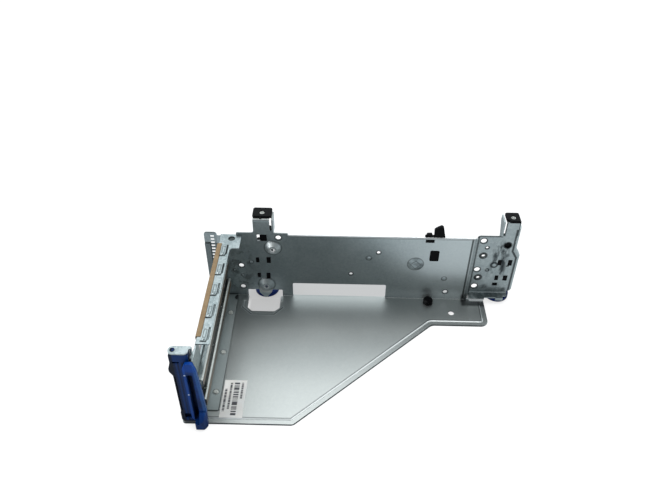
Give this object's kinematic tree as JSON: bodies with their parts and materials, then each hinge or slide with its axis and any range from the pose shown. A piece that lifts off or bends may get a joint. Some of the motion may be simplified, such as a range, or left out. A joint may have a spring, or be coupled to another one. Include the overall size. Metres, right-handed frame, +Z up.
{
  "type": "riser cage bracket",
  "caption": "Folded sheet steel cage for plug-in cards, with a slotted end panel, a tapering base plate, turn locks on upright shafts and a hinged slot latch.",
  "frame": {"origin": "middle of the part's bounds in plan, at the underside of the base plate's rim", "axes": "+X along the back wall towards the end bracket, +Y from the open front to the back wall, +Z up"},
  "size_m": [0.2564, 0.1526, 0.0839],
  "materials": {
    "zinc_sheet": "zinc plated, satin",
    "panel_sheet": "zinc plated, bright",
    "rivet_steel": "bright",
    "gasket_cloth": "conductive cloth over foam",
    "blue_plastic": "fine matt moulded",
    "black_plastic": "satin moulded",
    "label_film": "matt film"
  },
  "bodies": {
    "cage": {"cage_shell": "zinc_sheet", "slot_panel": "panel_sheet", "panel_rivet_back": "rivet_steel", "panel_rivet_mid": "rivet_steel", "panel_rivet_front": "rivet_steel", "gasket_strip": "gasket_cloth", "end_bracket": "zinc_sheet", "bracket_rivet_upper": "rivet_steel", "bracket_rivet_lower": "rivet_steel", "left_lock_guide": "black_plastic", "left_lock_cap": "black_plastic", "right_lock_guide": "black_plastic", "right_lock_cap": "black_plastic", "latch_bracket": "panel_sheet", "cable_clip": "black_plastic", "corner_peg": "black_plastic", "plate_label": "label_film"},
    "left_lock": {"left_lock_knob": "blue_plastic", "left_lock_shaft": "rivet_steel"},
    "right_lock": {"right_lock_knob": "blue_plastic", "right_lock_shaft": "rivet_steel"},
    "latch": {"latch_door": "blue_plastic"}
  },
  "joints": [
    {"name": "left_lock_turn", "type": "hinge", "parent": "cage", "child": "left_lock", "pos_m": [-0.0793, 0.06625, 0.0035], "axis": [0, 0, 1], "range_deg": [0, 180]},
    {"name": "right_lock_turn", "type": "hinge", "parent": "cage", "child": "right_lock", "pos_m": [0.1162, 0.06625, 0.0035], "axis": [0, 0, 1], "range_deg": [0, 180]},
    {"name": "latch_swing", "type": "hinge", "parent": "cage", "child": "latch", "pos_m": [-0.1242, -0.06495, 0.0035], "axis": [0, 0, -1], "range_deg": [0, 100]}
  ]
}
